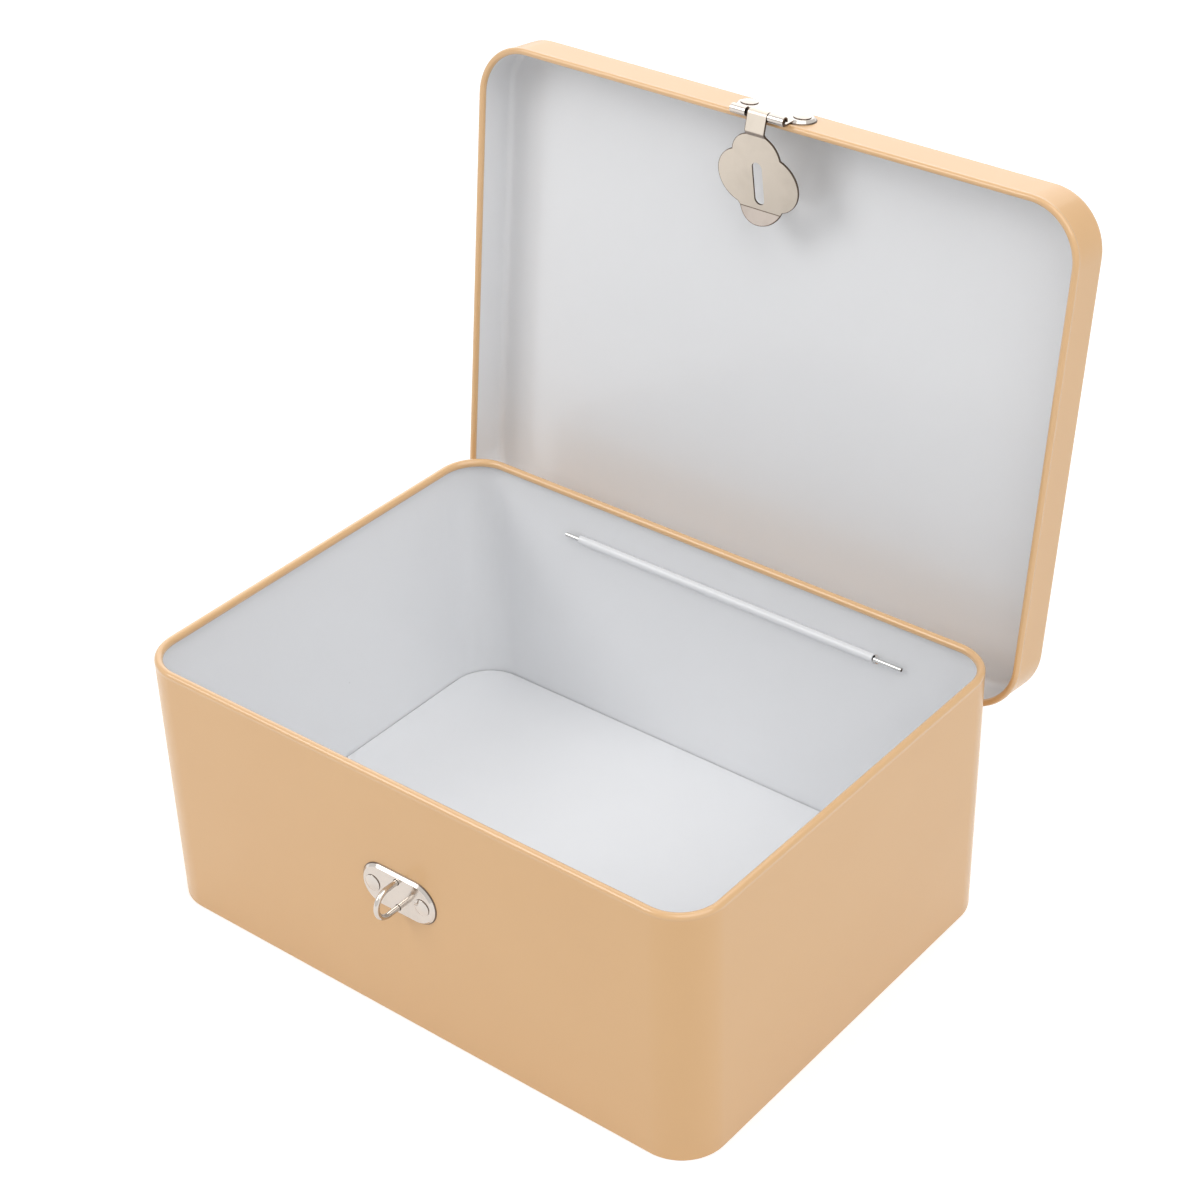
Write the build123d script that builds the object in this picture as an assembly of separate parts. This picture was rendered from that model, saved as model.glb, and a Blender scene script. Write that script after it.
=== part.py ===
from build123d import *
import math
import os

# A lockable storage tin: a folded tinplate box with a lift-up lid, a wire hinge in a slot of the
# back wall, and a hasp on the lid that drops over a wire staple on the front wall for a padlock.
# Millimetres, +Z up, X to the right along the front, Y from front to back.
# The origin is the middle of the flat ring that the tin stands on. The lid is modelled shut and
# then turned open, because the tin is shown open.

# Driving dimensions of the box
BODY_WIDTH = 243.0
BODY_DEPTH = 179.5
BODY_HEIGHT = 103.9
CORNER_RADIUS = 17.4
SHEET = 0.4
RIM_RADIUS = 1.75
RIM_PROUD = 0.3
CURL_SWEEP_END = 265.0
BASE_EDGE_RADIUS = 0.35
HEM_HEIGHT = 2.4
FLOOR_TOP = 3.5
FLOOR_CORNER = 0.9
PUNCH_LENGTH = 6.0

# Driving dimensions of the lid
LID_WIDTH = 250.3
LID_DEPTH = 186.9
LID_CORNER_RADIUS = 20.4
LID_BEAD_RADIUS = 1.25
LID_RISE = 17.6
LID_EDGE_RADIUS = 3.0
LID_TOP_MARGIN = 8.0

# The hinge: the lid's tongue is rolled round a wire inside the back wall
HINGE_BELOW_RIM = 20.0
HINGE_FROM_WALL = 1.6
ROLL_INNER_RADIUS = 1.15
WIRE_RADIUS = 0.85
TONGUE_LEFT = -65.5
TONGUE_RIGHT = 69.5
TONGUE_GAP = 2.0
WIRE_LEFT = -72.5
WIRE_RIGHT = 81.5
SLOT_ABOVE = 0.67
SLOT_BELOW = 3.25
SLOT_SIDE_GAP = 0.8
ROLL_START = -45.0
ROLL_SWEEP = -290.0
TONGUE_OFF_WALL = 0.3
TONGUE_ROOT_ABOVE_BEAD = 2.1
TONGUE_BEND_ABOVE_BEAD = 0.6
TONGUE_BEND_ABOVE_HINGE = 3.1
TONGUE_BEND_RADIUS = 0.6
TONGUE_GAP_MARGIN = 0.25
WIRE_END_CHAMFER = 0.2
LID_BEAD_ABOVE_HINGE = 4.3
OPEN_ANGLE = 96.7

# The hasp on the lid's front skirt
HASP_X = 0.1
HASP_SHEET = 0.7
PIN_RADIUS = 0.95
KNUCKLE_BORE = 1.0
PIN_BELOW_BEAD = 3.0
PIN_OUT_OF_BEAD = 2.65
KNUCKLE_INNER = 4.7
KNUCKLE_OUTER = 11.0
KNUCKLE_ROOT = 1.8
PIN_INSET = 1.3
HASP_PLATE_WIDTH = 32.0
HASP_PLATE_HEIGHT = 12.5
HASP_PLATE_LOW_EDGE = 1.0
PLATE_DEPTH = 1.3
PLATE_EDGE = 1.2
RIVET_SPACING = 22.0
RIVET_HEAD_RADIUS = 3.1
RIVET_HEAD_HEIGHT = 0.9
RIVET_HEAD_ROUND = 0.63
RIVET_SHANK_RADIUS = 1.4
RIVET_TAIL_RADIUS = 2.3
RIVET_TAIL_HEIGHT = 0.6

# The flap, in its own directions: out from the pin and down from it. The last value is how far
# it leans for its weight to hang straight under the pin.
FLAP_NECK_HALF = 4.2
FLAP_NECK_LAP = 3.0
FLAP_NECK_BEND_RADIUS = 0.5
STRIP_ANGLE = 23.5
STRIP_LENGTH = 5.9
FLAP_OFFSET = 2.9
FLAP_TOP = 6.4
FLAP_LOBE_HALF = 16.8
FLAP_LOBE_DOWN = 24.0
UPPER_CUSP = (10.0, 13.8)
UPPER_BULGE = (8.3, 9.6)
LOWER_CUSP = (9.4, 34.2)
FOLD_HALF = 8.5
FOLD_DOWN = 35.6
TAB_LENGTH = 5.5
TAB_BEND = 30.0
FLAP_SLOT_WIDTH = 4.2
FLAP_SLOT_LENGTH = 16.5
FLAP_SLOT_DOWN = 25.1
FLAP_HANG = 7.8

# The staple on the front wall
STAPLE_X = -0.6
STAPLE_Z = 58.0
STAPLE_PLATE_WIDTH = 33.0
STAPLE_PLATE_HEIGHT = 17.5
LOOP_WIRE_RADIUS = 1.05
LOOP_HEIGHT = 13.0
LOOP_REACH = 12.5
LOOP_HEAD_RADIUS = 1.9
LOOP_HEAD_HEIGHT = 0.5
LOOP_HEAD_OFF_WALL = 0.05

# Places worked out from the dimensions above
FRONT_WALL = -BODY_DEPTH / 2
BACK_WALL = BODY_DEPTH / 2
HINGE_Y = BACK_WALL - SHEET - HINGE_FROM_WALL
HINGE_Z = BODY_HEIGHT - HINGE_BELOW_RIM
LID_BEAD_Z = HINGE_Z + LID_BEAD_ABOVE_HINGE
LID_TOP = LID_BEAD_Z + LID_RISE
LID_BEAD_INSET = LID_BEAD_RADIUS - RIM_PROUD
LID_FRONT = -LID_DEPTH / 2
PIN_Y = LID_FRONT + LID_BEAD_INSET - PIN_OUT_OF_BEAD
PIN_Z = LID_BEAD_Z - PIN_BELOW_BEAD
KNUCKLE_MIDDLE = KNUCKLE_BORE + HASP_SHEET / 2
ROLL_MIDDLE = ROLL_INNER_RADIUS + SHEET / 2


def polar(centre, radius, degrees):
    """A point on a circle."""
    turn = math.radians(degrees)
    return centre[0] + radius * math.cos(turn), centre[1] + radius * math.sin(turn)


def curl(bead_radius, centre_z, wall_side):
    """The edges of a rolled sheet edge, and the points where it joins the sheet's two faces.

    wall_side is -1 where the sheet lies under the bead, as on the box, and 1 where it lies over it.
    """
    centre = (RIM_PROUD - bead_radius, centre_z)
    inner = bead_radius - SHEET
    to_outer_face = bead_radius - RIM_PROUD
    to_inner_face = to_outer_face - SHEET
    outer_start = math.degrees(math.acos(to_outer_face / bead_radius))
    inner_start = math.degrees(math.acos(to_inner_face / inner))
    turn = -wall_side
    outer_arc = CenterArc(centre, bead_radius, wall_side * outer_start, turn * (CURL_SWEEP_END + outer_start))
    inner_arc = CenterArc(centre, inner, wall_side * inner_start, turn * (CURL_SWEEP_END + inner_start))
    end_cap = Line(outer_arc @ 1, inner_arc @ 1)
    return [outer_arc, end_cap, inner_arc], outer_arc @ 0, inner_arc @ 0


def carried_round(section, width, depth, radius):
    """A section carried round a rounded rectangle; its own X is outwards from that rectangle."""
    path = RectangleRounded(width, depth, radius).face().outer_wire()
    start = Plane(origin=(0, -depth / 2, 0), x_dir=(0, -1, 0), z_dir=(-1, 0, 0))
    return sweep(start * section, path=path)


def rounded_block(width, depth, radius, low, high):
    """A solid rounded rectangle between two heights."""
    return Pos(0, 0, low) * extrude(RectangleRounded(width, depth, radius), high - low)


def bent_strip(middle_line, thickness, left, right):
    """A strip of sheet whose side view follows a line in the YZ plane, between two X places."""
    side_view = Plane.YZ * trace(middle_line, thickness)
    return Pos(left, 0, 0) * extrude(side_view, right - left, dir=(1, 0, 0))


def wire_round(path, radius):
    """Round wire along a smooth path."""
    return sweep((path ^ 0) * Circle(radius), path=path)


def opened(shape):
    """A piece of the shut lid turned open about the hinge wire."""
    return Pos(0, HINGE_Y, HINGE_Z) * Rot(X=-OPEN_ANGLE) * Pos(0, -HINGE_Y, -HINGE_Z) * shape


def body_wall():
    """The box's wall: rolled rim, hemmed base and the hinge slot, in one folded sheet."""
    edges, rim_outer, rim_inner = curl(RIM_RADIUS, BODY_HEIGHT - RIM_RADIUS, -1)
    corner = BASE_EDGE_RADIUS
    hem_back = -3 * SHEET
    outline = edges + [
        Line(rim_inner, (-SHEET, SHEET)),
        Line((-SHEET, SHEET), (-2 * SHEET, SHEET)),
        Line((-2 * SHEET, SHEET), (-2 * SHEET, HEM_HEIGHT)),
        Line((-2 * SHEET, HEM_HEIGHT), (hem_back, HEM_HEIGHT)),
        Line((hem_back, HEM_HEIGHT), (hem_back, corner)),
        CenterArc((hem_back + corner, corner), corner, 180, 90),
        Line((hem_back + corner, 0), (-corner, 0)),
        CenterArc((-corner, corner), corner, 270, 90),
        Line((0, corner), rim_outer),
    ]
    wall = carried_round(make_face(outline), BODY_WIDTH, BODY_DEPTH, CORNER_RADIUS)
    slot_left = TONGUE_LEFT - SLOT_SIDE_GAP
    slot_right = TONGUE_RIGHT + SLOT_SIDE_GAP
    slot_low = HINGE_Z - SLOT_BELOW
    slot_high = HINGE_Z + SLOT_ABOVE
    slot_place = Pos((slot_left + slot_right) / 2, BACK_WALL, (slot_low + slot_high) / 2)
    wall -= slot_place * Box(slot_right - slot_left, PUNCH_LENGTH, slot_high - slot_low)
    holes = [(STAPLE_X + side * RIVET_SPACING / 2, STAPLE_Z) for side in (-1, 1)]
    for x, z in holes:
        wall -= Pos(x, FRONT_WALL, z) * Rot(X=90) * Cylinder(RIVET_SHANK_RADIUS, PUNCH_LENGTH)
    return wall


def body_bottom():
    """The floor: a shallow tray pressed up inside the wall, its edge held in the hem."""
    width = BODY_WIDTH - 2 * SHEET
    depth = BODY_DEPTH - 2 * SHEET
    radius = CORNER_RADIUS - SHEET
    tray = rounded_block(width, depth, radius, SHEET, FLOOR_TOP)
    tray = fillet(tray.faces().sort_by(Axis.Z)[-1].edges(), FLOOR_CORNER)
    under = rounded_block(width - 2 * SHEET, depth - 2 * SHEET, radius - SHEET, 0, FLOOR_TOP - SHEET)
    under = fillet(under.faces().sort_by(Axis.Z)[-1].edges(), FLOOR_CORNER - SHEET)
    return tray - under


def tongue_middle_line():
    """The side view of the lid's tongue: down from the skirt, through the slot and round the wire."""
    roll = (HINGE_Y, HINGE_Z)
    leave = polar(roll, ROLL_MIDDLE, ROLL_START)
    outside_wall = BACK_WALL + TONGUE_OFF_WALL + SHEET / 2
    skirt_middle = LID_DEPTH / 2 - SHEET / 2
    bend_in = (outside_wall, leave[1] + outside_wall - leave[0])
    points = [
        (skirt_middle, LID_BEAD_Z + TONGUE_ROOT_ABOVE_BEAD),
        (skirt_middle, LID_BEAD_Z + TONGUE_BEND_ABOVE_BEAD),
        (outside_wall, HINGE_Z + TONGUE_BEND_ABOVE_HINGE),
        bend_in,
        leave,
    ]
    bends = FilletPolyline(*points, radius=TONGUE_BEND_RADIUS)
    rolled = CenterArc(roll, ROLL_MIDDLE, ROLL_START, ROLL_SWEEP)
    return Curve() + bends.edges() + rolled.edges()


def lid_shell():
    """The lid: a drawn tray with a rolled edge, whose back edge runs on as the hinge tongue."""
    edges, bead_outer, bead_inner = curl(LID_BEAD_RADIUS, LID_BEAD_Z, 1)
    corner = LID_EDGE_RADIUS
    outline = edges + [
        Line(bead_inner, (-SHEET, LID_TOP - corner)),
        CenterArc((-corner, LID_TOP - corner), corner - SHEET, 0, 90),
        Line((-corner, LID_TOP - SHEET), (-LID_TOP_MARGIN, LID_TOP - SHEET)),
        Line((-LID_TOP_MARGIN, LID_TOP - SHEET), (-LID_TOP_MARGIN, LID_TOP)),
        Line((-LID_TOP_MARGIN, LID_TOP), (-corner, LID_TOP)),
        CenterArc((-corner, LID_TOP - corner), corner, 0, 90),
        Line((0, LID_TOP - corner), bead_outer),
    ]
    lid = carried_round(make_face(outline), LID_WIDTH, LID_DEPTH, LID_CORNER_RADIUS)
    margin = 2 * LID_TOP_MARGIN
    panel = rounded_block(
        LID_WIDTH - margin, LID_DEPTH - margin, LID_CORNER_RADIUS - LID_TOP_MARGIN, LID_TOP - SHEET, LID_TOP
    )
    lid += panel
    gap_left = TONGUE_LEFT - TONGUE_GAP
    gap_right = TONGUE_RIGHT + TONGUE_GAP
    gap_height = 2 * (LID_BEAD_RADIUS + TONGUE_GAP_MARGIN)
    gap_place = Pos((gap_left + gap_right) / 2, LID_DEPTH / 2, LID_BEAD_Z)
    lid -= gap_place * Box(gap_right - gap_left, PUNCH_LENGTH, gap_height)
    lid += bent_strip(tongue_middle_line(), SHEET, TONGUE_LEFT, TONGUE_RIGHT)
    rivet_z = LID_BEAD_Z + HASP_PLATE_LOW_EDGE + HASP_PLATE_HEIGHT / 2
    for side in (-1, 1):
        x = HASP_X + side * RIVET_SPACING / 2
        lid -= Pos(x, LID_FRONT, rivet_z) * Rot(X=90) * Cylinder(RIVET_SHANK_RADIUS, PUNCH_LENGTH)
    return lid


def hinge_wire():
    """The straight hinge wire, lying in the bottom of the rolled tongue when the lid is open."""
    slack = ROLL_INNER_RADIUS - WIRE_RADIUS
    rod = Rot(Y=90) * Cylinder(WIRE_RADIUS, WIRE_RIGHT - WIRE_LEFT)
    middle = Pos((WIRE_LEFT + WIRE_RIGHT) / 2, HINGE_Y, HINGE_Z - slack)
    return middle * chamfer(rod.edges(), WIRE_END_CHAMFER)


def dished_plate(width, height):
    """A pressed oblong plate with rolled-down edges, standing on the XY plane."""
    plate = extrude(SlotOverall(width, height), PLATE_DEPTH)
    plate = fillet(plate.faces().sort_by(Axis.Z)[-1].edges(), PLATE_EDGE)
    hollow = extrude(SlotOverall(width - 2 * HASP_SHEET, height - 2 * HASP_SHEET), PLATE_DEPTH - HASP_SHEET)
    for side in (-1, 1):
        hollow += Pos(side * RIVET_SPACING / 2, 0, 0) * Cylinder(RIVET_SHANK_RADIUS, PUNCH_LENGTH)
    return plate - hollow


def rivet(grip):
    """A rivet set through a plate and a sheet: domed head outside, flat tail inside.

    The head's underside is on the XY plane and the shank runs down from it by the grip.
    """
    head = Cylinder(RIVET_HEAD_RADIUS, RIVET_HEAD_HEIGHT, align=(Align.CENTER, Align.CENTER, Align.MIN))
    head = fillet(head.faces().sort_by(Axis.Z)[-1].edges(), RIVET_HEAD_ROUND)
    down = (Align.CENTER, Align.CENTER, Align.MAX)
    shank = Cylinder(RIVET_SHANK_RADIUS, grip, align=down)
    tail = Pos(0, 0, -grip) * Cylinder(RIVET_TAIL_RADIUS, RIVET_TAIL_HEIGHT, align=down)
    return head + shank + tail


def on_front(face_y, x, z):
    """The place of a fitting that was modelled on the XY plane and goes on a face looking forwards."""
    return Pos(x, face_y, z) * Rot(X=90)


def hasp_plate():
    """The hasp's fixed plate with its two knuckles, as on the shut lid."""
    plate_z = LID_BEAD_Z + HASP_PLATE_LOW_EDGE + HASP_PLATE_HEIGHT / 2
    plate = on_front(LID_FRONT, HASP_X, plate_z) * dished_plate(HASP_PLATE_WIDTH, HASP_PLATE_HEIGHT)
    pin = (PIN_Y, PIN_Z)
    start = (LID_FRONT - PLATE_DEPTH + HASP_SHEET / 2, LID_BEAD_Z + HASP_PLATE_LOW_EDGE + KNUCKLE_ROOT)
    along = (pin[0] - start[0], pin[1] - start[1])
    distance = math.hypot(*along)
    towards = math.degrees(math.atan2(along[1], along[0]))
    lean = math.degrees(math.asin(KNUCKLE_MIDDLE / distance))
    straight = math.sqrt(distance**2 - KNUCKLE_MIDDLE**2)
    touch = polar(start, straight, towards + lean)
    touch_angle = math.degrees(math.atan2(touch[1] - pin[1], touch[0] - pin[0]))
    rolled = CenterArc(pin, KNUCKLE_MIDDLE, touch_angle, ROLL_SWEEP)
    side_view = Curve() + Line(start, touch).edges() + rolled.edges()
    for side in (-1, 1):
        near, far = sorted((side * KNUCKLE_INNER, side * KNUCKLE_OUTER))
        plate += bent_strip(side_view, HASP_SHEET, HASP_X + near, HASP_X + far)
    return plate


def hasp_pin():
    """The hasp's pin, through both knuckles and the flap."""
    rod = Rot(Y=90) * Cylinder(PIN_RADIUS, 2 * (KNUCKLE_OUTER - PIN_INSET))
    return Pos(HASP_X, PIN_Y, PIN_Z) * chamfer(rod.edges(), WIRE_END_CHAMFER)


def flap_side_line():
    """Side view of the flap's knuckle and neck, with the pin at the origin: Y is inwards, Z is up."""
    lean = math.radians(STRIP_ANGLE)
    leave = (-KNUCKLE_MIDDLE * math.cos(lean), KNUCKLE_MIDDLE * math.sin(lean))
    step = (leave[0] - STRIP_LENGTH * math.sin(lean), leave[1] - STRIP_LENGTH * math.cos(lean))
    points = [leave, step, (-FLAP_OFFSET, -FLAP_TOP), (-FLAP_OFFSET, -FLAP_TOP - FLAP_NECK_LAP)]
    neck = FilletPolyline(*points, radius=FLAP_NECK_BEND_RADIUS)
    rolled = CenterArc((0, 0), KNUCKLE_MIDDLE, 180 - STRIP_ANGLE, ROLL_SWEEP)
    return Curve() + neck.edges() + rolled.edges()


def flap_outline():
    """The clover-shaped flap seen from the front, with the pin at the origin."""
    neck = (FLAP_NECK_HALF, -FLAP_TOP)
    upper_bulge = (UPPER_BULGE[0], -UPPER_BULGE[1])
    upper_cusp = (UPPER_CUSP[0], -UPPER_CUSP[1])
    lobe = (FLAP_LOBE_HALF, -FLAP_LOBE_DOWN)
    lower_cusp = (LOWER_CUSP[0], -LOWER_CUSP[1])
    fold = (FOLD_HALF, -FOLD_DOWN)
    right = [
        Line((0, -FLAP_TOP), neck),
        ThreePointArc(neck, upper_bulge, upper_cusp),
        ThreePointArc(upper_cusp, lobe, lower_cusp),
        Line(lower_cusp, fold),
        Line(fold, (0, -FOLD_DOWN)),
    ]
    left = [mirror(edge, about=Plane.YZ) for edge in right]
    return make_face(right + left)


def flap_tab():
    """The bent thumb tab below the fold, a segment of a circle."""
    left = (-FOLD_HALF, 0)
    right = (FOLD_HALF, 0)
    segment = make_face([Line(left, right), ThreePointArc(right, (0, -TAB_LENGTH), left)])
    flat = extrude(Plane.XZ * segment, HASP_SHEET / 2, both=True)
    bend = Rot(Y=90) * Cylinder(HASP_SHEET / 2, 2 * FOLD_HALF)
    return Pos(0, -FLAP_OFFSET, -FOLD_DOWN) * (Rot(X=-TAB_BEND) * flat + bend)


def hasp_flap():
    """The swinging flap in its rest place, hanging free from the pin of the open lid."""
    sheet = extrude(Plane.XZ * flap_outline(), HASP_SHEET / 2, both=True)
    flap = Pos(0, -FLAP_OFFSET, 0) * sheet
    flap += bent_strip(flap_side_line(), HASP_SHEET, -FLAP_NECK_HALF, FLAP_NECK_HALF)
    flap += flap_tab()
    slot = SlotOverall(FLAP_SLOT_LENGTH, FLAP_SLOT_WIDTH, rotation=90)
    punch = extrude(Plane.XZ * slot, PUNCH_LENGTH / 2, both=True)
    flap -= Pos(0, -FLAP_OFFSET, -FLAP_SLOT_DOWN) * punch
    return opened(Pos(HASP_X, PIN_Y, PIN_Z)) * Rot(X=OPEN_ANGLE + FLAP_HANG) * flap


def staple_plate():
    """The dished plate that carries the staple, with holes for the loop's two legs."""
    plate = dished_plate(STAPLE_PLATE_WIDTH, STAPLE_PLATE_HEIGHT)
    leg = LOOP_HEIGHT / 2 - LOOP_WIRE_RADIUS
    for side in (-1, 1):
        plate -= Pos(0, side * leg, 0) * Cylinder(LOOP_WIRE_RADIUS, PUNCH_LENGTH)
    return on_front(FRONT_WALL, STAPLE_X, STAPLE_Z) * plate


def staple_loop():
    """The wire loop that a padlock goes through, its leg ends headed over behind the plate."""
    bend = LOOP_HEIGHT / 2 - LOOP_WIRE_RADIUS
    straight = LOOP_REACH - LOOP_WIRE_RADIUS - bend
    inside = LOOP_HEAD_HEIGHT / 2
    path = Wire(
        [
            Edge.make_line((0, -bend, inside), (0, -bend, straight)),
            Edge.make_three_point_arc((0, -bend, straight), (0, 0, straight + bend), (0, bend, straight)),
            Edge.make_line((0, bend, straight), (0, bend, inside)),
        ]
    )
    loop = wire_round(path, LOOP_WIRE_RADIUS)
    for side in (-1, 1):
        head = Cylinder(LOOP_HEAD_RADIUS, LOOP_HEAD_HEIGHT, align=(Align.CENTER, Align.CENTER, Align.MIN))
        loop += Pos(0, side * bend, LOOP_HEAD_OFF_WALL) * head
    return on_front(FRONT_WALL, STAPLE_X, STAPLE_Z) * loop


def main():
    """Builds every piece and writes each one as its own file."""
    grip = PLATE_DEPTH + SHEET
    hasp_rivet_z = LID_BEAD_Z + HASP_PLATE_LOW_EDGE + HASP_PLATE_HEIGHT / 2
    pieces = {
        "body_wall": body_wall(),
        "body_bottom": body_bottom(),
        "lid_shell": opened(lid_shell()),
        "hinge_wire": hinge_wire(),
        "hasp_plate": opened(hasp_plate()),
        "hasp_pin": opened(hasp_pin()),
        "hasp_flap": hasp_flap(),
        "staple_plate": staple_plate(),
        "staple_loop": staple_loop(),
    }
    for name, side in (("left", -1), ("right", 1)):
        offset = side * RIVET_SPACING / 2
        hasp_place = on_front(LID_FRONT - PLATE_DEPTH, HASP_X + offset, hasp_rivet_z)
        staple_place = on_front(FRONT_WALL - PLATE_DEPTH, STAPLE_X + offset, STAPLE_Z)
        pieces["hasp_rivet_" + name] = opened(hasp_place * rivet(grip))
        pieces["staple_rivet_" + name] = staple_place * rivet(grip)
    os.makedirs("parts", exist_ok=True)
    for name, piece in pieces.items():
        export_step(piece, f"parts/{name}.step")


main()
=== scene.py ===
"""Looks of a lockable storage tin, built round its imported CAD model.

Sizes are millimetres in the classes and metres in the meshes. The frame is the CAD's: +Z up,
X to the right along the front, Y from the front to the hinge side. The lid and its hasp are
modelled shut and then turned open about the hinge, as a sheet metal worker would lay them out.
"""

import logging
import math
from collections.abc import Callable, Iterator
from contextlib import contextmanager
from dataclasses import dataclass
from enum import Enum
from functools import cache
from typing import Any

import bmesh
import bpy
from mathutils import Matrix, Vector


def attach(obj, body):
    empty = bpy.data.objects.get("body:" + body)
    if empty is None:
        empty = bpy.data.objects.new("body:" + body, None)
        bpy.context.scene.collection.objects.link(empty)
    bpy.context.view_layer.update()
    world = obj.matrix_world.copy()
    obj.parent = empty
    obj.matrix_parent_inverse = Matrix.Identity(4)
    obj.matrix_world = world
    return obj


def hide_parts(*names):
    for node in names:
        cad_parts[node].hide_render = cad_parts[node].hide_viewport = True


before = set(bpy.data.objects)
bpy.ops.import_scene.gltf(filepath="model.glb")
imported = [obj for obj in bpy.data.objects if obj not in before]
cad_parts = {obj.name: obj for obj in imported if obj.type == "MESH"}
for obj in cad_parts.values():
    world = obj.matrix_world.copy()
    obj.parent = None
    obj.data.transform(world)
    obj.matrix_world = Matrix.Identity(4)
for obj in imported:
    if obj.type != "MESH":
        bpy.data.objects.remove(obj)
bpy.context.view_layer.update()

Piece = bpy.types.Object
Tree = bpy.types.NodeTree
Socket = bpy.types.NodeSocket
Flat = tuple[float, float]
Window = tuple[float, float, float, float]
Inputs = dict[str | int, Any]
Test = Callable[[Any], bool]

LOG = logging.getLogger("tin")
MM = 0.001
WELD = 0.002 * MM
SMOOTH_ANGLE = math.radians(32)
SHARP_BEND = math.radians(20)
CORNER_STEPS = 28
CURL_END = 265.0
ROLL_SWEEP = 290.0
CUT_DEPTH = 6.0
STRAIGHT = 0.99
CROPPED_END = 0.9


def point(x: float, y: float, z: float) -> Vector:
    """A place in millimetres as metres."""
    return Vector((x, y, z)) * MM


def at(x: float, y: float, z: float) -> Matrix:
    """A move to a place in millimetres."""
    return Matrix.Translation(point(x, y, z))


def turn(degrees: float, axis: str = "X") -> Matrix:
    """A right-handed turn about an axis."""
    return Matrix.Rotation(math.radians(degrees), 4, axis)


class Pick(Enum):
    """What a selection takes."""

    EDGES = "EDGE"
    FACES = "FACE"


class Plane(Enum):
    """The plane of a drawing, with the axis that its arcs turn about."""

    SIDE = (1, 0, 0)
    FLAT = (0, 0, 1)


def pick_out(first: Piece, *others: Piece) -> None:
    """Selects pieces and nothing else.

    Args:
        first: The piece that becomes the active one.
        *others: The rest.
    """
    bpy.ops.object.select_all(action="DESELECT")
    for piece in (first, *others):
        piece.select_set(True)
    bpy.context.view_layer.objects.active = first


@contextmanager
def editing(piece: Piece) -> Iterator[None]:
    """Opens one piece alone in edit mode, all selected, and leaves edit mode again.

    Args:
        piece: The mesh to edit.
    """
    pick_out(piece)
    bpy.ops.object.mode_set(mode="EDIT")
    bpy.ops.mesh.select_all(action="SELECT")
    yield
    bpy.ops.object.mode_set(mode="OBJECT")


def select(piece: Piece, pick: Pick, test: Test) -> None:
    """Selects what passes a test, in edit mode.

    Args:
        piece: The mesh in edit mode.
        pick: Whether edges or faces are meant.
        test: Says yes to the elements to take.
    """
    bpy.ops.mesh.select_mode(type=pick.value)
    bpy.ops.mesh.select_all(action="DESELECT")
    mesh = bmesh.from_edit_mesh(piece.data)
    taken = [element for element in (mesh.edges if pick is Pick.EDGES else mesh.faces) if test(element)]
    for element in taken:
        element.select_set(True)
    bmesh.update_edit_mesh(piece.data)


def lies_below(height: float) -> Test:
    """A test for faces of the first finish whose middle is below a height in millimetres."""
    return lambda face: not face.material_index and face.calc_center_median().z < height * MM - WELD


def inside_a_roll(y: float, z: float, radius: float) -> Test:
    """A test for faces within a radius of a roll's middle, which take painted shade."""
    return lambda face: (face.calc_center_median() - point(0, y, z)).yz.length < radius * MM


def primitive(add: Callable[..., Any], **settings: Any) -> Piece:
    """Adds a primitive at its size and place, and keeps the place in its mesh.

    Args:
        add: Blender's operator for it.
        **settings: The operator's values.

    Returns:
        The new piece.
    """
    bpy.ops.object.select_all(action="DESELECT")
    add(**settings)
    bpy.ops.object.transform_apply(location=True, rotation=True, scale=True)
    return bpy.context.active_object


def place(piece: Piece, matrix: Matrix) -> Piece:
    """Moves a piece to its place and keeps the place in its mesh.

    Args:
        piece: The mesh.
        matrix: The move.

    Returns:
        The same piece.
    """
    pick_out(piece)
    piece.matrix_world = matrix @ piece.matrix_world
    bpy.ops.object.transform_apply(location=True, rotation=True, scale=True)
    return piece


def join(first: Piece, *others: Piece) -> Piece:
    """Makes several meshes one piece.

    Args:
        first: The mesh that the others go into.
        *others: The meshes that go into it.

    Returns:
        The first mesh.
    """
    pick_out(first, *others)
    bpy.ops.object.join()
    return first


def pull(x: float, y: float, z: float) -> None:
    """Extrudes the selected edges by a step in millimetres."""
    bpy.ops.mesh.extrude_edges_move(TRANSFORM_OT_translate={"value": point(x, y, z)})


def slice_level(height: float, **settings: Any) -> None:
    """Cuts the whole mesh across at a height in millimetres."""
    bpy.ops.mesh.select_all(action="SELECT")
    bpy.ops.mesh.bisect(plane_co=point(0, 0, height), plane_no=(0, 0, 1), **settings)


def close_up(piece: Piece) -> None:
    """Merges doubled points and turns the faces outwards."""
    with editing(piece):
        bpy.ops.mesh.remove_doubles(threshold=WELD)
        bpy.ops.mesh.normals_make_consistent(inside=False)


def round_bends(piece: Piece, width: float) -> None:
    """Rounds the sharp bends that run along X in a skin.

    Args:
        piece: The skin.
        width: Of the bevel, mm.
    """

    def is_bend(edge: bmesh.types.BMEdge) -> bool:
        """Whether an edge along X is a sharp bend."""
        along = edge.verts[1].co - edge.verts[0].co
        inner = abs(along.x) > STRAIGHT * along.length and len(edge.link_faces) == 2
        return inner and edge.calc_face_angle() > SHARP_BEND

    with editing(piece):
        select(piece, Pick.EDGES, is_bend)
        bpy.ops.mesh.bevel(offset=width * MM, segments=4)


def modify(piece: Piece, kind: str, **settings: Any) -> None:
    """Adds one modifier with its settings and applies it.

    Args:
        piece: The mesh.
        kind: Blender's name of the modifier.
        **settings: Its values.
    """
    modifier = piece.modifiers.new(kind.lower(), kind)
    for name, value in settings.items():
        setattr(modifier, name, value)
    pick_out(piece)
    bpy.ops.object.modifier_apply(modifier=modifier.name)


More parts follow.
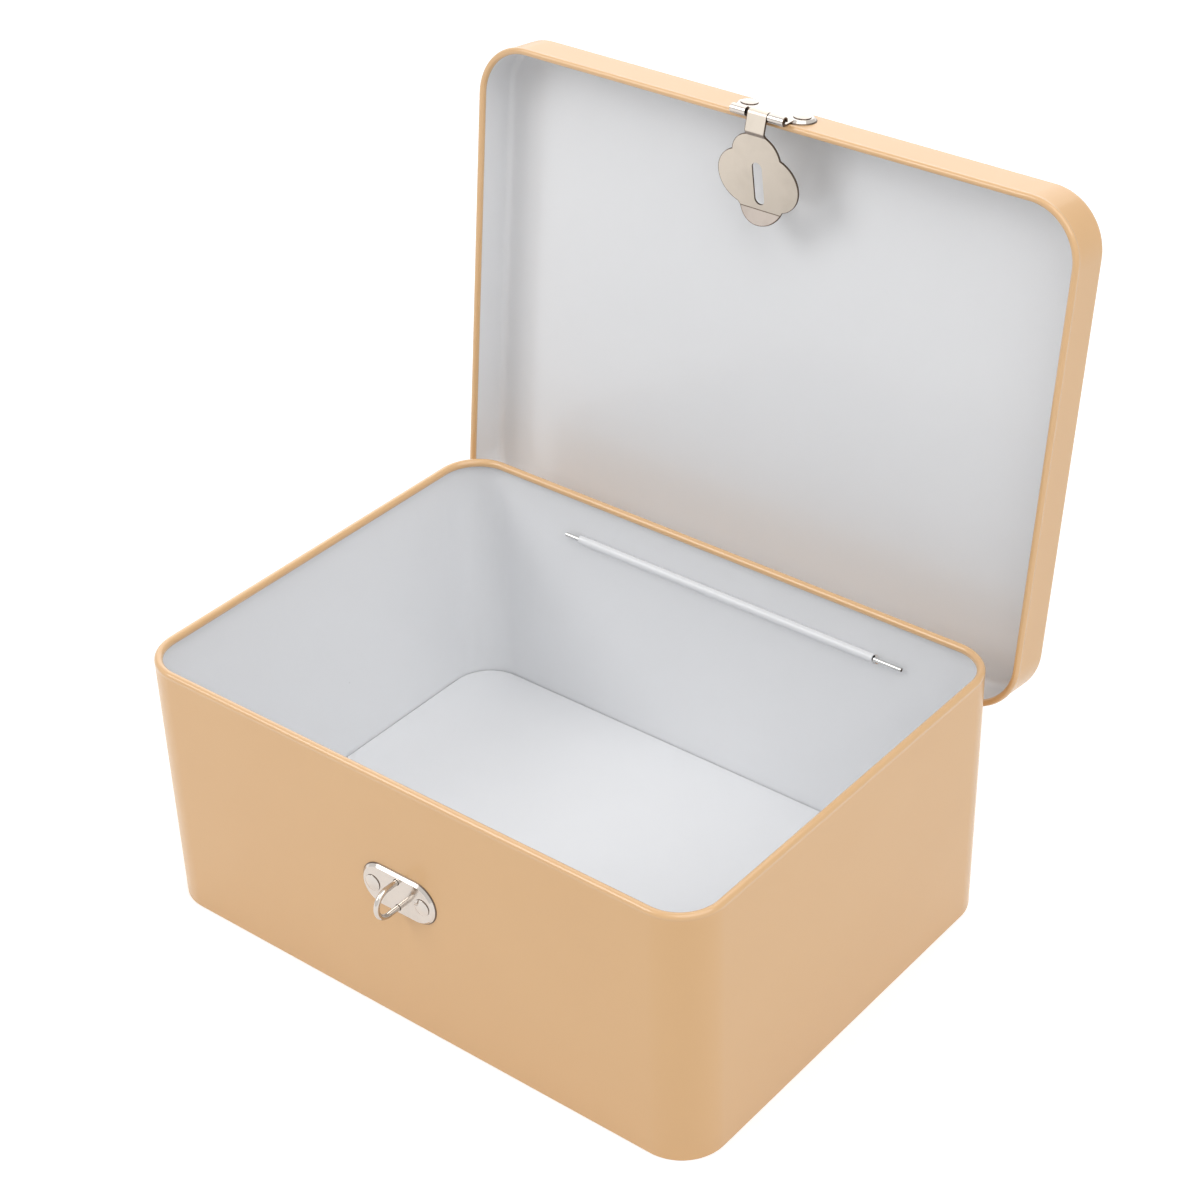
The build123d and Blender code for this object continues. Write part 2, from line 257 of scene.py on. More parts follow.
def thicken(
    piece: Piece, thickness: float, offset: float = -1, inside_slot: int = 0, rim_slot: int = 0
) -> None:
    """Gives a skin its sheet thickness.

    Args:
        piece: The skin.
        thickness: Of the sheet, mm.
        offset: -1 grows the sheet inwards from the skin, 0 both ways.
        inside_slot: How many material slots further on the inside's finish is.
        rim_slot: The same for the cut edges.
    """
    modify(
        piece, "SOLIDIFY", thickness=thickness * MM, offset=offset, use_even_offset=True,
        use_quality_normals=True, material_offset=inside_slot, material_offset_rim=rim_slot,
    )


def soften(piece: Piece, width: float, segments: int = 2, angle: float = 40, slot: int = -1) -> None:
    """Takes the sharpness off a piece's edges, as tumbling and plating do.

    Args:
        piece: The mesh.
        width: Of the bevel, mm.
        segments: Facets in the bevel.
        angle: Only edges that turn by more than this are taken, degrees.
        slot: The material slot of the bevel, or -1 for that of the faces beside it.
    """
    modify(
        piece, "BEVEL", width=width * MM, segments=segments, material=slot,
        limit_method="ANGLE", angle_limit=math.radians(angle),
    )


def cut_away(piece: Piece, cutter: Piece) -> None:
    """Cuts one piece's shape out of another and removes the cutter."""
    modify(piece, "BOOLEAN", operation="DIFFERENCE", solver="EXACT", object=cutter)
    bpy.data.objects.remove(cutter)


def cut_window(piece: Piece, y: float, window: Window) -> None:
    """Cuts an oblong window through a back wall.

    Args:
        piece: The mesh.
        y: Where the wall is, mm.
        window: The window's left, right, lower and upper sides, mm.
    """
    left, right, low, high = window
    sides = (right - left, CUT_DEPTH, high - low)
    middle = point((left + right) / 2, y, (low + high) / 2)
    cutter = primitive(
        bpy.ops.mesh.primitive_cube_add, size=1, location=middle, scale=[MM * side for side in sides]
    )
    cut_away(piece, cutter)


def rod(radius: float, length: float, crop: float) -> Piece:
    """A round rod along X with cropped ends.

    Args:
        radius: Of the rod, mm.
        length: Of the rod, mm.
        crop: The width of the bevel round its ends, mm.

    Returns:
        The rod, about the origin.
    """
    piece = primitive(
        bpy.ops.mesh.primitive_cylinder_add, vertices=32, radius=radius * MM, depth=length * MM,
        rotation=(0, math.pi / 2, 0),
    )
    soften(piece, crop, segments=3, angle=60)
    return piece


def peg(radius: float, length: float, crop: float, y: float, z: float) -> Piece:
    """The same rod upright, with its middle at a place over the Y axis."""
    return place(rod(radius, length, crop), at(0, y, z) @ turn(90, "Y"))


class Drawing:
    """A chain of edges, drawn from one point by lines and arcs."""

    def __init__(self, plane: Plane, start: Flat) -> None:
        """Starts the chain.

        Args:
            plane: The plane to draw in.
            start: The first point in that plane, mm.
        """
        self.plane = plane
        self.here = Vector(start)
        self.piece = primitive(bpy.ops.mesh.primitive_plane_add, size=MM)
        bpy.ops.object.mode_set(mode="EDIT")
        bpy.ops.mesh.select_all(action="SELECT")
        bpy.ops.mesh.merge(type="CENTER")
        bpy.ops.mesh.select_all(action="SELECT")
        bpy.ops.transform.translate(value=self.lifted(self.here))

    def lifted(self, flat: Vector) -> Vector:
        """A point of the drawing in space, in metres."""
        a, b = flat
        return point(0, a, b) if self.plane is Plane.SIDE else point(a, b, 0)

    def line(self, *points: Flat) -> "Drawing":
        """Draws straight on to each point in turn."""
        for target in points:
            step = self.lifted(Vector(target) - self.here)
            bpy.ops.mesh.extrude_vertices_move(TRANSFORM_OT_translate={"value": step})
            self.here = Vector(target)
        return self

    def arc(self, centre: Flat, degrees: float, steps: int) -> "Drawing":
        """Draws round a centre, anticlockwise for positive degrees.

        Args:
            centre: The arc's centre, mm.
            degrees: How far it turns. The spin operator counts the other way.
            steps: Its number of edges.

        Returns:
            The same drawing.
        """
        middle = Vector(centre)
        bpy.ops.mesh.spin(
            steps=steps, angle=-math.radians(degrees), center=self.lifted(middle), axis=self.plane.value
        )
        self.here = middle + Matrix.Rotation(math.radians(degrees), 2) @ (self.here - middle)
        return self

    def arc_through(self, middle: Flat, end: Flat, steps: int) -> "Drawing":
        """Draws the arc that passes through one point and ends at another.

        Args:
            middle: A point on the arc, mm.
            end: The arc's last point, mm.
            steps: Its number of edges.

        Returns:
            The same drawing.
        """
        a, b, c = self.here, Vector(middle), Vector(end)
        ab, ac = b - a, c - a
        cross = 2 * (ab.x * ac.y - ab.y * ac.x)
        centre = a + Vector((
            (ac.y * ab.length_squared - ab.y * ac.length_squared) / cross,
            (ab.x * ac.length_squared - ac.x * ab.length_squared) / cross,
        ))
        start_angle = math.atan2(*(a - centre).yx)
        end_angle = math.atan2(*(c - centre).yx)
        sweep = (end_angle - start_angle) % math.tau
        if cross < 0:
            sweep -= math.tau
        return self.arc(tuple(centre), math.degrees(sweep), steps)

    def done(self) -> Piece:
        """Ends the drawing and gives its mesh."""
        bpy.ops.mesh.select_all(action="SELECT")
        bpy.ops.mesh.remove_doubles(threshold=WELD)
        bpy.ops.object.mode_set(mode="OBJECT")
        return self.piece

    def filled(self) -> Piece:
        """Ends a closed drawing and fills it with one face."""
        piece = self.done()
        with editing(piece):
            bpy.ops.mesh.edge_face_add()
        return piece

    def strip(self, left: float, right: float) -> Piece:
        """Ends a side view and pulls it out along X to a strip.

        Args:
            left: Where the strip starts, mm.
            right: Where it ends, mm.

        Returns:
            The strip, still a skin.
        """
        piece = self.done()
        with editing(piece):
            bpy.ops.transform.translate(value=point(left, 0, 0))
            pull(right - left, 0, 0)
        close_up(piece)
        return piece


def curled_edge(face: float, level: float, radius: float, proud: float, way: int, steps: int) -> Drawing:
    """Starts a side view at the middle of the front with the curl of a sheet's edge.

    Args:
        face: The sheet's outer face, mm.
        level: The height of the curl's middle, mm.
        radius: Of the curl, mm.
        proud: How far the curl stands out from the face, mm.
        way: 1 where the sheet goes on downwards from the curl, -1 where it goes on upwards.
        steps: The curl's number of edges.

    Returns:
        The drawing, up to where the curl runs into the face.
    """
    middle = face - proud + radius
    meeting = math.degrees(math.acos((radius - proud) / radius))
    end = math.radians(CURL_END)
    first = (middle - radius * math.cos(end), level + way * radius * math.sin(end))
    return Drawing(Plane.SIDE, first).arc((middle, level), way * (CURL_END + meeting), steps)


@dataclass
class RoundedRectangle:
    """A rounded rectangle that a section is carried round."""

    width: float
    depth: float
    radius: float

    def carry(self, section: Piece) -> Piece:
        """Carries a side view from the middle of the front right round and back to it.

        Args:
            section: A chain in the YZ plane, at the front.

        Returns:
            The skin that it sweeps.
        """
        # Half the straight sides, and then each side's run with the centre of the corner after it
        w, d = self.width / 2 - self.radius, self.depth / 2 - self.radius
        runs = ((w, 0, w, -d), (0, 2 * d, w, d), (-2 * w, 0, -w, d), (0, -2 * d, -w, -d))
        with editing(section):
            for along_x, along_y, centre_x, centre_y in runs:
                pull(along_x, along_y, 0)
                bpy.ops.mesh.spin(
                    steps=CORNER_STEPS, angle=-math.pi / 2, center=point(centre_x, centre_y, 0),
                    axis=(0, 0, 1),
                )
            pull(w, 0, 0)
        close_up(section)
        return section

    def plate(self, low: float) -> Piece:
        """A flat face of this outline at a height.

        Args:
            low: The height, mm.

        Returns:
            The face.
        """
        square = primitive(bpy.ops.mesh.primitive_plane_add, size=1, location=point(0, 0, low))
        face = place(square, Matrix.Diagonal((self.width * MM, self.depth * MM, 1, 1)))
        with editing(face):
            bpy.ops.mesh.bevel(
                offset=self.radius * MM, segments=CORNER_STEPS, affect="VERTICES", profile=0.5
            )
        return face


def pressed_cap(
    face: Piece, height: float, edge: float, sheet: float, inside_slot: int = 0, edge_steps: int = 6
) -> None:
    """Presses a flat face up into a shallow cap with a rolled or chamfered top edge.

    Args:
        face: The flat outline, lying at the cap's foot.
        height: Of the cap, mm.
        edge: The width of its top edge, mm.
        sheet: Its thickness, mm.
        inside_slot: How many material slots further on the inside's finish is.
        edge_steps: The facets of the top edge, 1 for a chamfer.
    """
    foot = face.data.vertices[0].co.z
    top = foot + height * MM
    with editing(face):
        bpy.ops.mesh.extrude_region_move(TRANSFORM_OT_translate={"value": point(0, 0, height)})
        select(face, Pick.EDGES, lambda e: all(v.co.z > top - WELD for v in e.verts))
        bpy.ops.mesh.bevel(offset=edge * MM, segments=edge_steps, profile=0.5)
        select(face, Pick.FACES, lambda f: all(v.co.z < foot + WELD for v in f.verts))
        bpy.ops.mesh.delete(type="ONLY_FACE")
    close_up(face)
    thicken(face, sheet, inside_slot=inside_slot)


# Finishes


def linear(colour: str) -> tuple[float, float, float, float]:
    """An sRGB hex colour, such as #DEB37F, as linear red, green and blue values and an alpha of 1."""
    channels = [int(colour[i:i + 2], 16) / 255 for i in (1, 3, 5)]
    return (*[c / 12.92 if c <= 0.04045 else ((c + 0.055) / 1.055) ** 2.4 for c in channels], 1.0)


def add_node(
    tree: Tree, kind: str, links: Inputs | None = None, values: Inputs | None = None, **settings: Any
) -> bpy.types.Node:
    """Adds a node with its settings, values and incoming links.

    Args:
        tree: The node tree.
        kind: Blender's name of the node type.
        links: The sockets to link into its inputs.
        values: The values to set on its inputs.
        **settings: The node's own properties.

    Returns:
        The node.
    """
    node = tree.nodes.new(kind)
    for name, value in settings.items():
        setattr(node, name, value)
    for name, value in (values or {}).items():
        node.inputs[name].default_value = value
    for name, socket in (links or {}).items():
        tree.links.new(socket, node.inputs[name])
    return node


def blank_tree(owner: bpy.types.Material | bpy.types.World) -> Tree:
    """Gives a material or a world an empty node tree.

    Args:
        owner: What the tree is for.

    Returns:
        The tree.
    """
    owner.use_nodes = True
    owner.node_tree.nodes.clear()
    return owner.node_tree


def per_metre(size_mm: float) -> float:
    """The scale at which one feature of a noise pattern is about that many millimetres."""
    return 1 / (size_mm * MM)


@dataclass(frozen=True)
class Layers:
    """How a finish varies over its surface.

    A tint is where it goes and its colour. The gloss is what the roughness follows, and the
    roughness at 0 and at 1. A relief is its height, its depth in mm, its strength and whether it
    is cut in, and the broadest comes first.
    """

    tints: list[tuple[Socket, str]]
    gloss: tuple[Socket, float, float]
    reliefs: list[tuple[Socket, float, float, bool]]
    shine: Inputs


@dataclass(frozen=True)
class Coating:
    """What paint and plating have in common: a name, two close colours and a roughness."""

    name: str
    colour: str
    shade: str
    roughness: float

    def layers(self, tree: Tree, place_on: Socket) -> Layers:
        """Adds the patterns of the finish, which each kind does in its own way.

        Args:
            tree: The node tree.
            place_on: The coordinates that the patterns read.

        Returns:
            How the finish varies.
        """
        raise NotImplementedError

    @cache
    def build(self) -> bpy.types.Material:
        """Makes the material.

        Returns:
            The material, the same one at each call.
        """
        material = bpy.data.materials.new(self.name)
        tree = blank_tree(material)
        layers = self.layers(tree, add_node(tree, "ShaderNodeTexCoord").outputs["Object"])
        under: Inputs = {}
        for where, tint in layers.tints:
            values = {"A": linear(self.colour), "B": linear(tint)}
            mix = add_node(
                tree, "ShaderNodeMix", {"Factor": where, **under}, values, data_type="RGBA"
            )
            under = {"A": mix.outputs["Result"]}
        follows, smooth, rough = layers.gloss
        gloss = add_node(
            tree, "ShaderNodeMapRange", {"Value": follows}, {"To Min": smooth, "To Max": rough}
        )
        normal: Inputs = {}
        for height, depth, strength, cut_in in layers.reliefs:
            bump = add_node(
                tree, "ShaderNodeBump", {"Height": height, **normal},
                {"Strength": strength, "Distance": depth * MM}, invert=cut_in,
            )
            normal = {"Normal": bump.outputs["Normal"]}
        surface = add_node(
            tree, "ShaderNodeBsdfPrincipled",
            {"Base Color": under["A"], "Roughness": gloss.outputs["Result"], **normal}, layers.shine,
        )
        add_node(tree, "ShaderNodeOutputMaterial", {"Surface": surface.outputs["BSDF"]})
        return material


@dataclass(frozen=True)
class StovedPaint(Coating):
    """Roller-coated and stoved paint on tinplate, which stays satin and very smooth.

    The sheet under it is thin, so broad, shallow waves show in its reflections, and the paint
    itself has a fine orange peel. Its colour hardly varies.
    """

    spread: float
    coat: float
    coat_roughness: float
    ior: float = 1.5
    under_gloss: float = 0.3
    patch_mm: float = 45.0
    peel_mm: float = 0.9
    peel_depth: float = 0.012
    wave_mm: float = 70.0
    wave_depth: float = 0.1
    speck_colour: str = ""
    speck_spacing_mm: float = 34.0
    speck_size_mm: float = 0.42

    def layers(self, tree: Tree, place_on: Socket) -> Layers:
        """Adds the paint's patches, its dust specks, the sheet's waves and the orange peel.

        Args:
            tree: The node tree.
            place_on: The coordinates that the patterns read.

        Returns:
            How the paint varies.
        """
        patch, wave, peel = (
            add_node(
                tree, "ShaderNodeTexNoise", {"Vector": place_on},
                {"Scale": per_metre(size), "Detail": detail, "Roughness": roughness},
            ).outputs["Fac"]
            for size, detail, roughness in (
                (self.patch_mm, 3.0, 0.5), (self.wave_mm, 1.0, 0.4), (self.peel_mm, 1.0, 0.4)
            )
        )
        tints = [(patch, self.shade)]
        if self.speck_colour:
            # A few specks of dust, one for each cell of a coarse pattern
            cells = add_node(
                tree, "ShaderNodeTexVoronoi", {"Vector": place_on},
                {"Scale": per_metre(self.speck_spacing_mm), "Randomness": 1.0},
            )
            reach = self.speck_size_mm / self.speck_spacing_mm
            speck = add_node(
                tree, "ShaderNodeMapRange", {"Value": cells.outputs["Distance"]},
                {"From Min": reach * 0.5, "From Max": reach, "To Min": 0.5, "To Max": 0.0},
            )
            tints.append((speck.outputs["Result"], self.speck_colour))
        shine = {
            "IOR": self.ior, "Specular IOR Level": self.under_gloss,
            "Coat Weight": self.coat, "Coat Roughness": self.coat_roughness,
        }
        gloss = (patch, self.roughness - self.spread, self.roughness + self.spread)
        reliefs = [(wave, self.wave_depth, 1.0, False), (peel, self.peel_depth, 1.0, False)]
        return Layers(tints, gloss, reliefs, shine)


@dataclass(frozen=True)
class PlatedSteel(Coating):
    """Bright plating or drawn steel, with hairline scratches and small stains from handling."""

    scratched: float
    scratch_mm: float = 0.35
    scratch_stretch: float = 14.0
    scratch_turn: tuple[float, float, float] = (0.3, 0.5, 0.4)
    scratch_shows: Flat = (0.58, 0.74)
    scratch_depth: float = 0.002
    stain_mm: float = 5.0
    stain_shows: Flat = (0.45, 0.75)
    ripple_mm: float = 2.4
    ripple_depth: float = 0.008

    def layers(self, tree: Tree, place_on: Socket) -> Layers:
        """Adds the stains, the scratches and the blank's ripples under the plating.

        Args:
            tree: The node tree.
            place_on: The coordinates that the patterns read.

        Returns:
            How the metal varies.
        """
        stretched = add_node(
            tree, "ShaderNodeMapping", {"Vector": place_on},
            {"Rotation": self.scratch_turn, "Scale": (1.0, 1.0, 1 / self.scratch_stretch)},
        ).outputs["Vector"]
        scratch, cloud, ripple = (
            add_node(
                tree, "ShaderNodeTexNoise", {"Vector": vector},
                {"Scale": per_metre(size), "Detail": detail, "Roughness": roughness},
            ).outputs["Fac"]
            for vector, size, detail, roughness in (
                (stretched, self.scratch_mm, 2.0, 0.6), (place_on, self.stain_mm, 3.0, 0.55),
                (place_on, self.ripple_mm, 1.0, 0.4),
            )
        )
        hairline, dull = (
            add_node(
                tree, "ShaderNodeMapRange", {"Value": noise}, {"From Min": low, "From Max": high}
            ).outputs["Result"]
            for noise, (low, high) in ((scratch, self.scratch_shows), (cloud, self.stain_shows))
        )
        gloss = (hairline, self.roughness, self.scratched)
        reliefs = [(ripple, self.ripple_depth, 1.0, False), (hairline, self.scratch_depth, 0.6, True)]
        return Layers([(dull, self.shade)], gloss, reliefs, {"Metallic": 1.0})


class Finish(Enum):
    """The tin's finishes."""

    # Apricot enamel: a warm opaque tan with a soft sheen that widens at the rounded corners
    ENAMEL = StovedPaint(
        "stoved_apricot_enamel", "#DEB37F", "#DBAF7C", roughness=0.44, spread=0.03,
        coat=0.5, coat_roughness=0.16,
    )
    # The rolled rims rub against hands and the lid, so their enamel is polished
    RUBBED_ENAMEL = StovedPaint(
        "rubbed_apricot_enamel", "#DEB37F", "#DBAF7C", roughness=0.32, spread=0.03,
        coat=1.0, coat_roughness=0.05,
    )
    # White lacquer: a cool, slightly grey white, glossy enough for a blurred reflection
    LACQUER = StovedPaint(
        "stoved_white_lacquer", "#EAEBED", "#E6E7E9", roughness=0.36, spread=0.04,
        coat=0.5, coat_roughness=0.14, speck_colour="#A9A6A2",
    )
    # Painted shade: the lacquer is greyer and matt in the seam round the floor, standing in for the shade
    # in that groove
    DUSTY_SEAM = StovedPaint(
        "seam_shade_white_lacquer", "#BDBEBF", "#B4B5B6", roughness=0.6, spread=0.05,
        coat=0.0, coat_roughness=0.2,
    )
    # Bright nickel plating: warm grey, mirror-like on the pressed edges
    NICKEL = PlatedSteel(
        "bright_nickel_plate", "#C9C2BB", "#C1BAB3", roughness=0.12, scratched=0.24,
        stain_mm=9.0, ripple_depth=0.004,
    )
    # The flap's nickel is barrel-plated on a duller blank, so it is satin with fine scratches
    SATIN_NICKEL = PlatedSteel(
        "satin_nickel_plate", "#D2C8BB", "#CAC0B3", roughness=0.4, scratched=0.5,
        stain_mm=11.0, ripple_depth=0.003,
    )
    # Painted shade: the thumb tab and the neck's step take a darker, greyer nickel, which stands in for the
    # dark reflections there
    HANDLED_NICKEL = PlatedSteel(
        "shade_painted_nickel_plate", "#A99F97", "#A1978F", roughness=0.34, scratched=0.44,
        stain_mm=6.0, ripple_depth=0.004,
    )
    # A blanked edge is sheared steel under thin plating, so it dulls to a dark brownish grey. The same
    # finish also paints shade and dark reflections: a line round the plates' feet, the rivets' flanks, the
    # flap's fold and the flap's outline
    CUT_EDGE = PlatedSteel(
        "browned_cut_edge_and_painted_shade", "#6A5C51", "#57493F", roughness=0.34, scratched=0.5
    )
    # Nearly black steel. The hasp's pin isn't plated and is oiled, and the same dark tone paints the shade
    # inside the rolls of the knuckles and the tongue, so that their open ends look nearly black
    OILED_PIN = PlatedSteel(
        "dark_pin_and_painted_roll_shade", "#3A3633", "#2A2725", roughness=0.4, scratched=0.5
    )
    # Bright drawn steel wire: cool grey, with the die's marks along it
    WIRE = PlatedSteel("bright_drawn_wire", "#D8D8D6", "#C4C4C2", roughness=0.12, scratched=0.26)


def coat(piece: Piece, *finishes: Finish) -> None:
    """Gives a piece its material slots, before a skin that has two is thickened."""
    for finish in finishes:
        piece.data.materials.append(finish.value.build())


def recoat(piece: Piece, slot: int, test: Test) -> None:
    """Gives the faces that pass a test another of the piece's finishes.

    Args:
        piece: The mesh, already coated.
        slot: The material slot of that finish.
        test: Says yes to the faces to take.
    """
    with editing(piece):
        select(piece, Pick.FACES, test)
        piece.active_material_index = slot
        bpy.ops.object.material_slot_assign()


def dress(piece: Piece, name: str, body: str, node: str) -> None:
    """Names and smooths a coated piece, and puts it in a CAD node's place on its body.

    Args:
        piece: The finished mesh, in its place.
        name: The piece's name.
        body: The CAD body that it rides on.
        node: The CAD node that it stands for.
    """
    piece.name = name
    piece.data.name = name
    pick_out(piece)
    bpy.ops.object.shade_smooth_by_angle(angle=SMOOTH_ANGLE)
    modify(piece, "WEIGHTED_NORMAL", keep_sharp=True)
    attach(piece, body)
    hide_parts(node)
    LOG.info("%s rides on %s, %d faces", name, body, len(piece.data.polygons))


@dataclass
class TinBox:
    """The box: its folded wall with the rolled rim, and its floor."""

    width: float = 243.0
    depth: float = 179.5
    height: float = 103.9
    corner: float = 17.4
    sheet: float = 0.4
    rim_radius: float = 1.55
    rim_proud: float = 0.08
    rubbed_depth: float = 2.325
    foot_edge: float = 0.35
    hem_height: float = 2.4
    floor_top: float = 3.5
    floor_edge: float = 0.9
    seam_depth: float = 0.1
    slot: Window = (-66.3, 70.3, 80.65, 84.57)

    def section(self) -> Piece:
        """Draws the wall's outer skin from the curl's end, over the rim and down to the hem.

        Returns:
            The chain.
        """
        face, edge, radius = -self.depth / 2, self.foot_edge, self.rim_radius
        hem = face + 3 * self.sheet
        drawing = curled_edge(face, self.height - radius, radius, self.rim_proud, way=1, steps=44)
        drawing.line((face, edge)).arc((face + edge, edge), 90, 4)
        drawing.line((hem - edge, 0)).arc((hem - edge, edge), 90, 4).line((hem, self.hem_height))
        return drawing.done()

    def wall(self) -> None:
        """Models the wall."""
        wall = RoundedRectangle(self.width, self.depth, self.corner).carry(self.section())
        coat(wall, Finish.ENAMEL, Finish.LACQUER, Finish.RUBBED_ENAMEL)
        thicken(wall, self.sheet, inside_slot=1)
        rim = (self.height - self.rubbed_depth) * MM
        recoat(wall, 2, lambda f: not f.material_index and f.calc_center_median().z > rim)
        cut_window(wall, self.depth / 2, self.slot)
        dress(wall, "tin_wall", "body", "body_wall")

    def floor(self) -> None:
        """Models the floor, a tray pressed up inside the wall."""
        gap = 2 * self.sheet
        outline = RoundedRectangle(self.width - gap, self.depth - gap, self.corner - self.sheet)
        floor = outline.plate(self.sheet)
        coat(floor, Finish.LACQUER, Finish.ENAMEL, Finish.DUSTY_SEAM)
        pressed_cap(floor, self.floor_top - self.sheet, self.floor_edge, self.sheet, inside_slot=1)
        # Painted shade: the seam round the floor's foot takes the greyer, matt lacquer
        recoat(floor, 2, lies_below(self.floor_top - self.seam_depth))
        dress(floor, "tin_floor", "body", "body_bottom")

    def build(self) -> None:
        """Builds the box."""
        self.wall()
        self.floor()


@dataclass(frozen=True)
class Hinge:
    """Where the lid turns, and how far it stands open."""

    y: float = 87.75
    z: float = 83.9
    open_angle: float = 96.7

    def opened(self) -> Matrix:
        """The move from the shut lid's frame to the open one's."""
        return at(0, self.y, self.z) @ turn(-self.open_angle) @ at(0, -self.y, -self.z)


@dataclass
class TinLid:
    """The lid: a drawn tray with a rolled edge and the tongue that is rolled round the wire."""

    hinge: Hinge = Hinge()
    width: float = 250.3
    depth: float = 186.9
    corner: float = 20.4
    sheet: float = 0.4
    bead_radius: float = 1.25
    bead_proud: float = 0.3
    bead_z: float = 88.2
    bead_cut: float = 1.5
    rubbed_height: float = 0.75
    rise: float = 17.6
    top_edge: float = 3.0
    margin: float = 8.0
    tongue_left: float = -65.5
    tongue_right: float = 69.5
    tongue_gap: float = 2.0
    tongue_top: float = 2.1
    tongue_bend: float = 0.6
    tongue_shoulder: float = 3.1
    tongue_clear: float = 0.3
    bend_width: float = 0.35
    roll_radius: float = 1.35
    wire_radius: float = 0.85
    wire_left: float = -72.5
    wire_right: float = 81.5
    wire_drop: float = 0.3
    back_wall: float = 89.75

    def section(self) -> Piece:
        """Draws the lid's outer skin from the curl's end, up the skirt and onto the top.

        Returns:
            The chain.
        """
        face, top, edge = -self.depth / 2, self.bead_z + self.rise, self.top_edge
        drawing = curled_edge(face, self.bead_z, self.bead_radius, self.bead_proud, way=-1, steps=40)
        drawing.line((face, top - edge)).arc((face + edge, top - edge), -90, 10)
        drawing.line((face + self.margin, top))
        return drawing.done()

    def tray(self) -> Piece:
        """Models the shut lid without its tongue.

        Returns:
            The tray.
        """
        top = (self.bead_z + self.rise) * MM
        tray = RoundedRectangle(self.width, self.depth, self.corner).carry(self.section())
        with editing(tray):
            select(tray, Pick.EDGES, lambda e: e.is_boundary and e.verts[0].co.z > top - WELD)
            bpy.ops.mesh.edge_face_add()
        close_up(tray)
        coat(tray, Finish.ENAMEL, Finish.LACQUER, Finish.RUBBED_ENAMEL)
        thicken(tray, self.sheet, inside_slot=1)
        recoat(tray, 2, lies_below(self.bead_z + self.rubbed_height))
        sides = (self.tongue_left - self.tongue_gap, self.tongue_right + self.tongue_gap)
        cut_window(tray, self.depth / 2, (*sides, self.bead_z - self.bead_cut, self.bead_z + self.bead_cut))
        return tray

    def tongue(self) -> Piece:
        """Models the tongue, from the skirt through the box's slot and round the wire.

        Returns:
            The tongue, painted in the white lacquer on both sides, with painted shade inside its roll.
        """
        y, z = self.hinge.y, self.hinge.z
        diagonal = self.roll_radius * math.sqrt(0.5)
        leave = (y + diagonal, z - diagonal)
        outside = self.back_wall + self.tongue_clear + self.sheet / 2
        skirt = self.depth / 2 - self.sheet / 2
        drawing = Drawing(Plane.SIDE, (skirt, self.bead_z + self.tongue_top))
        drawing.line((skirt, self.bead_z + self.tongue_bend), (outside, z + self.tongue_shoulder))
        drawing.line((outside, leave[1] + outside - leave[0]), leave).arc((y, z), -ROLL_SWEEP, 36)
        tongue = drawing.strip(self.tongue_left, self.tongue_right)
        round_bends(tongue, self.bend_width)
        thicken(tongue, self.sheet, offset=0)
        coat(tongue, Finish.LACQUER, Finish.OILED_PIN)
        # Painted shade inside the roll round the wire
        recoat(tongue, 1, inside_a_roll(y, z, self.roll_radius - self.sheet / 4))
        return tongue

    def wire(self) -> None:
        """Models the hinge wire."""
        wire = rod(self.wire_radius, self.wire_right - self.wire_left, crop=0.25)
        coat(wire, Finish.WIRE, Finish.CUT_EDGE)
        recoat(wire, 1, lambda f: abs(f.normal.x) > CROPPED_END)
        middle = (self.wire_left + self.wire_right) / 2
        place(wire, at(middle, self.hinge.y, self.hinge.z - self.wire_drop))
        dress(wire, "hinge_rod", "lid", "hinge_wire")

    def build(self) -> None:
        """Builds the lid, open."""
        shell = place(join(self.tray(), self.tongue()), self.hinge.opened())
        dress(shell, "tin_lid", "lid", "lid_shell")
        self.wire()


